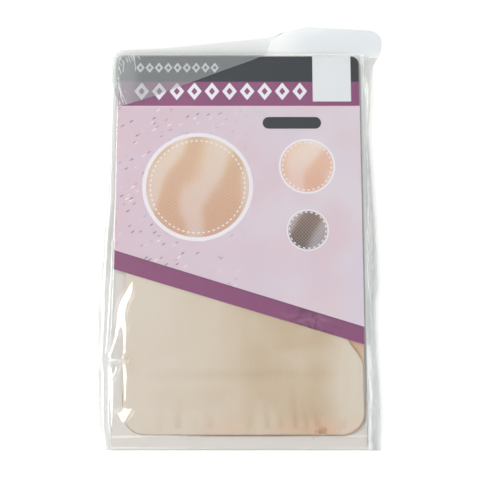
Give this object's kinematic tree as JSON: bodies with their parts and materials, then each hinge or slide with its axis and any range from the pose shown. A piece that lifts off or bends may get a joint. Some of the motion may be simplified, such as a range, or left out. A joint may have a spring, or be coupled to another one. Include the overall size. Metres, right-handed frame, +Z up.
{
  "type": "wig cap on display cards in a clear bag",
  "caption": "Knitted wig cap laid flat between a white backing card and a shorter printed card with a slanted lower edge, in a clear film bag whose flap is partly folded over.",
  "frame": {"origin": "middle of the pack's footprint on the surface that it lies on", "axes": "+X to the right of the printed side, +Y towards the head of the cards and the bag's mouth, +Z up through the printed side"},
  "size_m": [0.1476, 0.2206, 0.0074],
  "materials": {
    "white_board": "smooth uncoated white board",
    "printed_card": "semi-gloss printed card, dark and purple bands on lilac",
    "knit": "fine beige stretch knit",
    "knit_hem": "doubled beige stretch knit",
    "thread": "brown sewing thread",
    "film": "clear glossy film"
  },
  "bodies": {
    "root": {"back_card": "white_board", "cap_crown": "knit", "hem_band": "knit_hem", "crown_seam": "thread", "front_card": "printed_card", "bag_front": "film", "bag_back": "film"}
  },
  "joints": []
}
